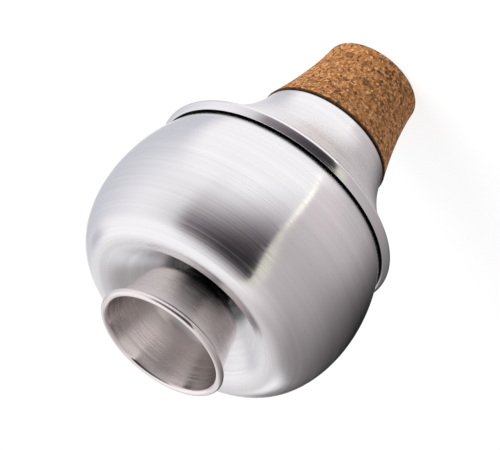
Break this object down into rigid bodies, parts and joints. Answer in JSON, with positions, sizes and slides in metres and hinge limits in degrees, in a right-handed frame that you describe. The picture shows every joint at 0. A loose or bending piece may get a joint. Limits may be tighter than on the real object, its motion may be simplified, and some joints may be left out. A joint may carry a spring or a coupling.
{
  "type": "wah-wah mute",
  "caption": "Wah-wah mute for a trumpet: spun aluminium bubble on a flared neck with a tapered cork ring, and a sliding stem with a bell-shaped cup.",
  "frame": {"origin": "centre of the cork's small end, on which the mute stands", "axes": "+Z along the mute's axis from the cork to the stem's cup; X and Y are any two directions square to it, because every piece is turned about the axis"},
  "size_m": [0.1012, 0.1012, 0.1374],
  "materials": {
    "body_aluminium": "spun and polished, with fine lines round the axis",
    "stem_aluminium": "satin, turned, slightly warmer in tone",
    "cork": "agglomerated cork with fine dark grains, sanded matt"
  },
  "bodies": {
    "mute_body": {"neck_cork": "cork", "neck_shell": "body_aluminium", "bubble_shell": "body_aluminium", "stem_sleeve": "stem_aluminium"},
    "stem": {"stem_tube": "stem_aluminium", "stem_cup": "stem_aluminium"}
  },
  "joints": [
    {"name": "stem_slide", "type": "slide", "parent": "mute_body", "child": "stem", "axis": [0, 0, 1], "range_m": [0, 0.05]}
  ]
}
